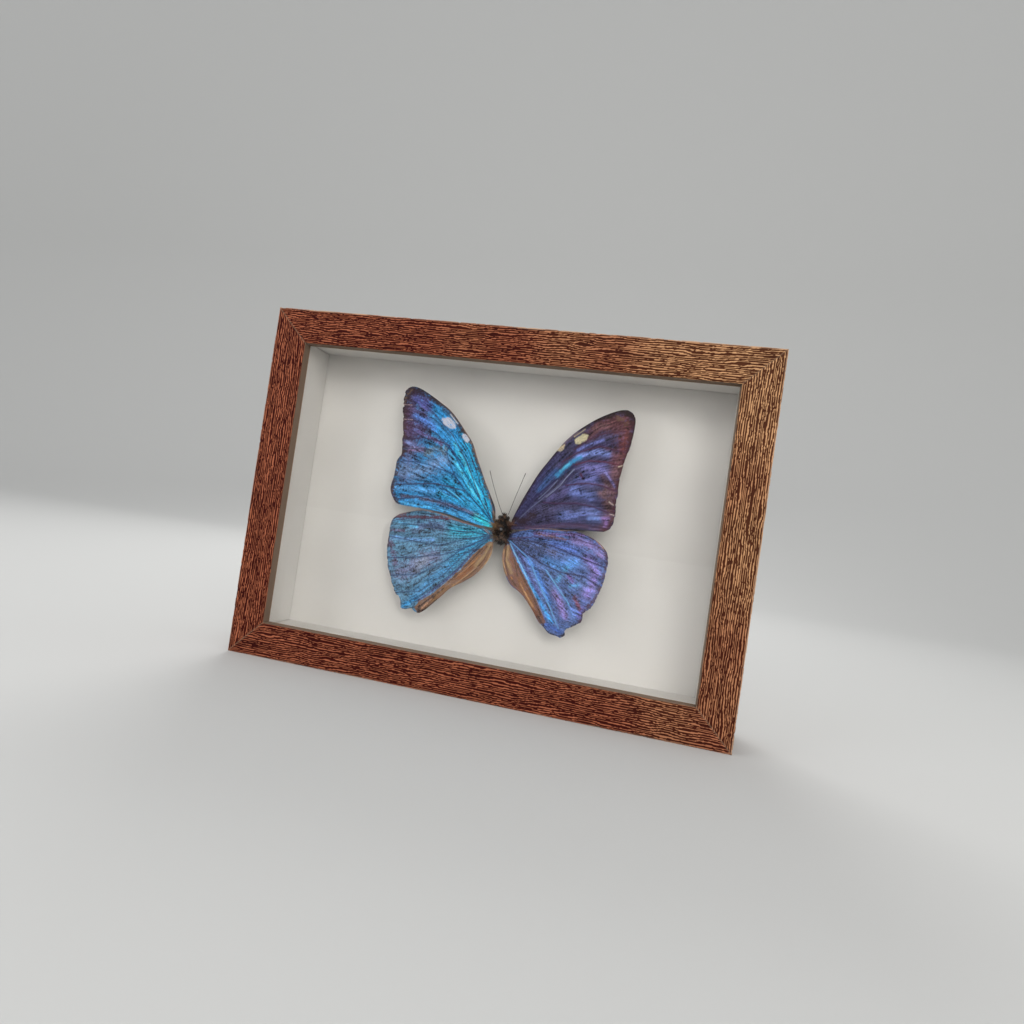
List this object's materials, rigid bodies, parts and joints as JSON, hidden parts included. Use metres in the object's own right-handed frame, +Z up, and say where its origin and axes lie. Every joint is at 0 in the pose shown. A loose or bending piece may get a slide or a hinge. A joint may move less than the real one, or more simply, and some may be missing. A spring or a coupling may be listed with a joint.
{
  "type": "framed butterfly specimen",
  "caption": "Blue butterfly with spread wings, floating on a pin before a white card in a glazed wood-grain shadow-box frame that stands on its lower rail.",
  "frame": {"origin": "middle of the frame's underside, at mid-depth", "axes": "+X along the frame's width to the viewer's right, +Y from the glass towards the back board, +Z up"},
  "size_m": [0.23, 0.0364, 0.1655],
  "materials": {
    "woodgrain_foil": "embossed wood-grain foil over fibreboard, satin",
    "glass": "clear sheet glass, polished",
    "white_board": "matt white paper-faced board",
    "fibreboard": "raw brown fibreboard, smooth face",
    "tab_steel": "bright rolled steel",
    "hanger_brass": "brass plated, pressed",
    "wing_left": "iridescent wing scales, satin, cyan to violet",
    "wing_right": "iridescent wing scales, satin, indigo to lilac",
    "insect_body": "dry, matt, covered in fine dark hair"
  },
  "bodies": {
    "root": {"rail_top": "woodgrain_foil", "rail_bottom": "woodgrain_foil", "rail_left": "woodgrain_foil", "rail_right": "woodgrain_foil", "glass_pane": "glass", "liner_top": "white_board", "liner_bottom": "white_board", "liner_left": "white_board", "liner_right": "white_board", "backing_card": "white_board", "back_board": "fibreboard", "tab_bottom_1": "tab_steel", "tab_bottom_2": "tab_steel", "tab_right_1": "tab_steel", "tab_top_1": "tab_steel", "tab_top_2": "tab_steel", "tab_left_1": "tab_steel", "sawtooth_hanger": "hanger_brass", "hanger_nail_left": "tab_steel", "hanger_nail_right": "tab_steel", "forewing_left": "wing_left", "forewing_right": "wing_right", "hindwing_left": "wing_left", "hindwing_right": "wing_right", "body": "insect_body", "antenna_left": "insect_body", "antenna_right": "insect_body", "mounting_pin": "tab_steel"}
  },
  "joints": []
}
